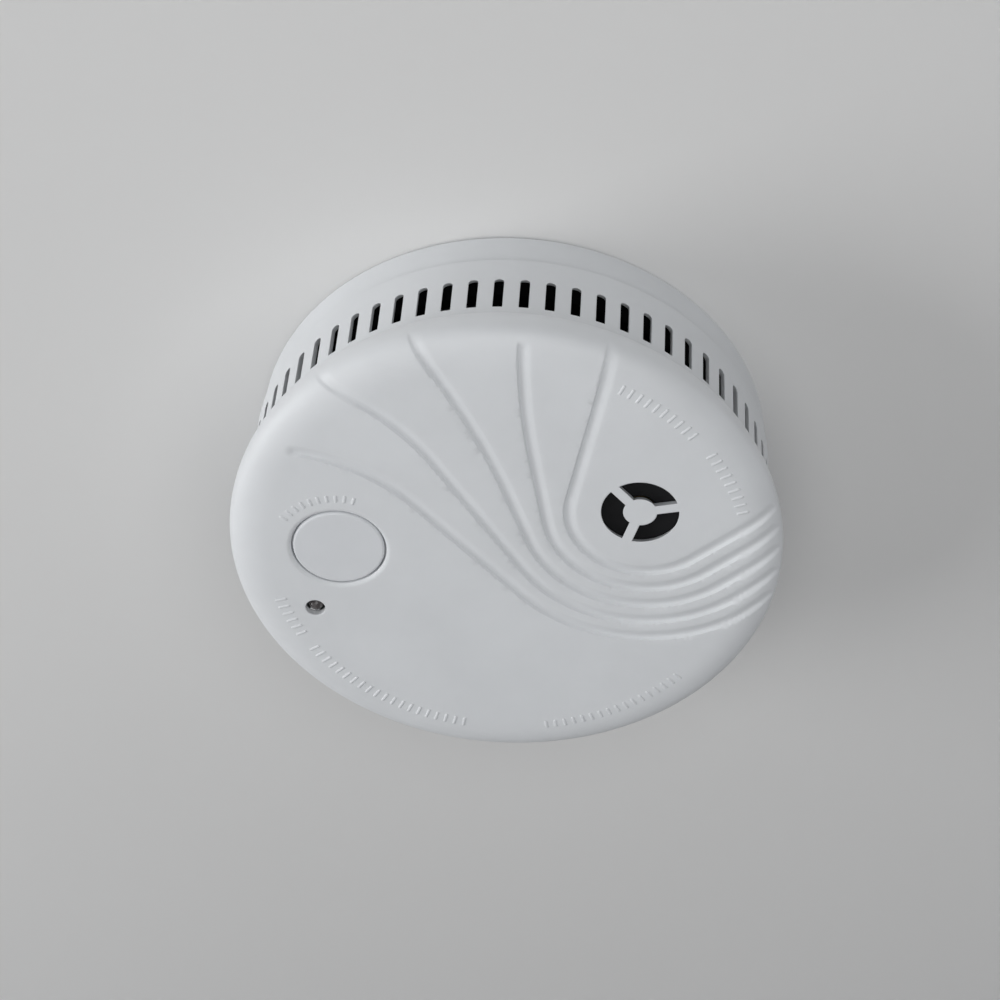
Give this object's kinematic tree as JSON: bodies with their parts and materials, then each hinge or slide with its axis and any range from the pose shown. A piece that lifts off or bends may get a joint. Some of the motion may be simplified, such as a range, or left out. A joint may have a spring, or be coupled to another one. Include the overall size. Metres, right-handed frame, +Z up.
{
  "type": "smoke detector",
  "caption": "Round white battery smoke alarm for a ceiling, with a vented wall, a swirl-grooved face, a sounder grille, a test button and a twist-off mounting base.",
  "frame": {"origin": "centre of the mounting base, on its ceiling side, midway between the screw slots", "axes": "+Z points up into the ceiling, along the alarm's axis; +X runs along one pair of screw slots, from the test button's side towards the sounder's side"},
  "size_m": [0.107, 0.107, 0.035],
  "materials": {
    "white_plastic": "satin, moulded",
    "button_plastic": "satin, moulded",
    "black_plastic": "matt",
    "spring_steel": "bright drawn wire",
    "switch_plastic": "matt",
    "led_lens": "clear red tint",
    "board_green": "solder-masked laminate",
    "chip_plastic": "moulded package",
    "capacitor_sleeve": "heat-shrunk sleeve",
    "inductor_ferrite": "sintered, varnished",
    "resistor_body": "lacquered",
    "ceramic_body": "dipped",
    "screen_steel": "etched sheet",
    "emitter_lens": "clear blue tint",
    "diode_black": "visible-light filter",
    "piezo_brass": "rolled",
    "piezo_ceramic": "silvered ceramic",
    "contact_metal": "nickel plated",
    "battery_wrap": "printed steel jacket, plain",
    "terminal_metal": "nickel plated",
    "screw_steel": "zinc plated"
  },
  "bodies": {
    "base": {"mounting_base": "white_plastic"},
    "head": {"rear_housing": "black_plastic", "front_cover": "white_plastic", "button_spring": "spring_steel", "test_switch": "switch_plastic", "indicator_led": "led_lens", "led_spacer": "black_plastic", "circuit_board": "board_green", "detector_chip": "chip_plastic", "storage_capacitor": "capacitor_sleeve", "horn_inductor": "inductor_ferrite", "resistors": "resistor_body", "ceramic_capacitors": "ceramic_body", "chamber_base": "black_plastic", "chamber_cover": "black_plastic", "insect_screen": "screen_steel", "ir_emitter": "emitter_lens", "photodiode": "diode_black", "horn_housing": "black_plastic", "piezo_disc": "piezo_brass", "piezo_ceramic": "piezo_ceramic", "piezo_contact_centre": "contact_metal", "piezo_contact_edge": "contact_metal", "battery": "battery_wrap", "battery_stud_positive": "terminal_metal", "battery_stud_negative": "terminal_metal", "terminal_block": "black_plastic", "battery_contact_positive": "contact_metal", "battery_contact_negative": "contact_metal", "housing_screws": "screw_steel", "board_screws": "screw_steel"},
    "button": {"test_button": "button_plastic", "switch_plunger": "switch_plastic"}
  },
  "joints": [
    {"name": "head_twist", "type": "hinge", "parent": "base", "child": "head", "pos_m": [0, 0, 0], "axis": [0, 0, -1], "range_deg": [0, 18]},
    {"name": "button_press", "type": "slide", "parent": "head", "child": "button", "axis": [0, 0, 1], "range_m": [0, 0.001], "stiffness_N_per_m": 400, "springref_m": -0.003, "deforming": ["button_spring"]}
  ]
}
